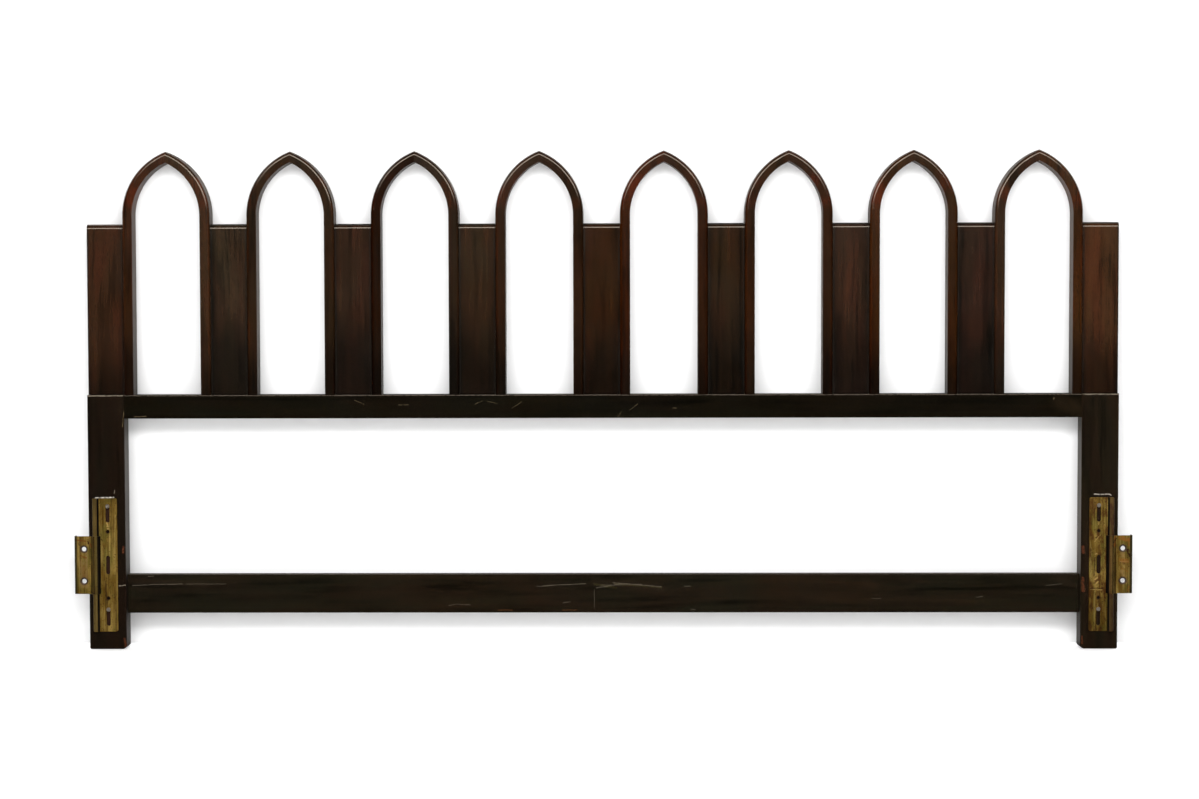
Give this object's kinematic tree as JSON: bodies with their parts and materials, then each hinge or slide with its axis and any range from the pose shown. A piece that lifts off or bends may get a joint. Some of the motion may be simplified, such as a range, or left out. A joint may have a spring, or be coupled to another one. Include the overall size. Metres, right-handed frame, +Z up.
{
  "type": "bed headboard",
  "caption": "King-size dark wooden headboard with a row of pointed arches and flat panels on a post-and-rail frame, with sliding steel bed-frame brackets.",
  "frame": {"origin": "on the floor, below the middle of the whole headboard", "axes": "+Z up, +X along the width to the viewer's right, the front faces -Y and the back, against the wall, faces +Y"},
  "size_m": [2.0364, 0.049, 0.9579],
  "materials": {
    "dark_stained_wood": "near-black brown stain under satin lacquer, worn and scratched",
    "stained_wood": "dark red-brown stain under satin lacquer",
    "plain_wood": "unstained hardwood dowels and splines",
    "plated_steel": "yellow zinc plating, tarnished and scratched",
    "screw_steel": "plain steel screw heads"
  },
  "bodies": {
    "headboard": {"post_left": "dark_stained_wood", "post_right": "dark_stained_wood", "upper_rail": "dark_stained_wood", "lower_rail": "dark_stained_wood", "arch_1_leg_left": "stained_wood", "arch_1_leg_right": "stained_wood", "arch_2_leg_left": "stained_wood", "arch_2_leg_right": "stained_wood", "arch_3_leg_left": "stained_wood", "arch_3_leg_right": "stained_wood", "arch_4_leg_left": "stained_wood", "arch_4_leg_right": "stained_wood", "arch_5_leg_left": "stained_wood", "arch_5_leg_right": "stained_wood", "arch_6_leg_left": "stained_wood", "arch_6_leg_right": "stained_wood", "arch_7_leg_left": "stained_wood", "arch_7_leg_right": "stained_wood", "arch_8_leg_left": "stained_wood", "arch_8_leg_right": "stained_wood", "arch_1_crown_left": "stained_wood", "arch_1_crown_right": "stained_wood", "arch_2_crown_left": "stained_wood", "arch_2_crown_right": "stained_wood", "arch_3_crown_left": "stained_wood", "arch_3_crown_right": "stained_wood", "arch_4_crown_left": "stained_wood", "arch_4_crown_right": "stained_wood", "arch_5_crown_left": "stained_wood", "arch_5_crown_right": "stained_wood", "arch_6_crown_left": "stained_wood", "arch_6_crown_right": "stained_wood", "arch_7_crown_left": "stained_wood", "arch_7_crown_right": "stained_wood", "arch_8_crown_left": "stained_wood", "arch_8_crown_right": "stained_wood", "panel_1": "stained_wood", "panel_2": "stained_wood", "panel_3": "stained_wood", "panel_4": "stained_wood", "panel_5": "stained_wood", "panel_6": "stained_wood", "panel_7": "stained_wood", "panel_8": "stained_wood", "panel_9": "stained_wood", "leg_dowels": "plain_wood", "crown_dowels": "plain_wood", "crown_splines": "plain_wood", "panel_dowels": "plain_wood", "edge_dowels": "plain_wood", "bracket_plate_left": "plated_steel", "bracket_plate_right": "plated_steel", "bracket_screws_left": "screw_steel", "bracket_screws_right": "screw_steel"},
    "left_slider": {"bracket_slider_left": "plated_steel"},
    "right_slider": {"bracket_slider_right": "plated_steel"}
  },
  "joints": [
    {"name": "left_slide", "type": "slide", "parent": "headboard", "child": "left_slider", "axis": [0, 0, 1], "range_m": [-0.073, 0.073]},
    {"name": "right_slide", "type": "slide", "parent": "headboard", "child": "right_slider", "axis": [0, 0, 1], "range_m": [-0.073, 0.073]}
  ]
}
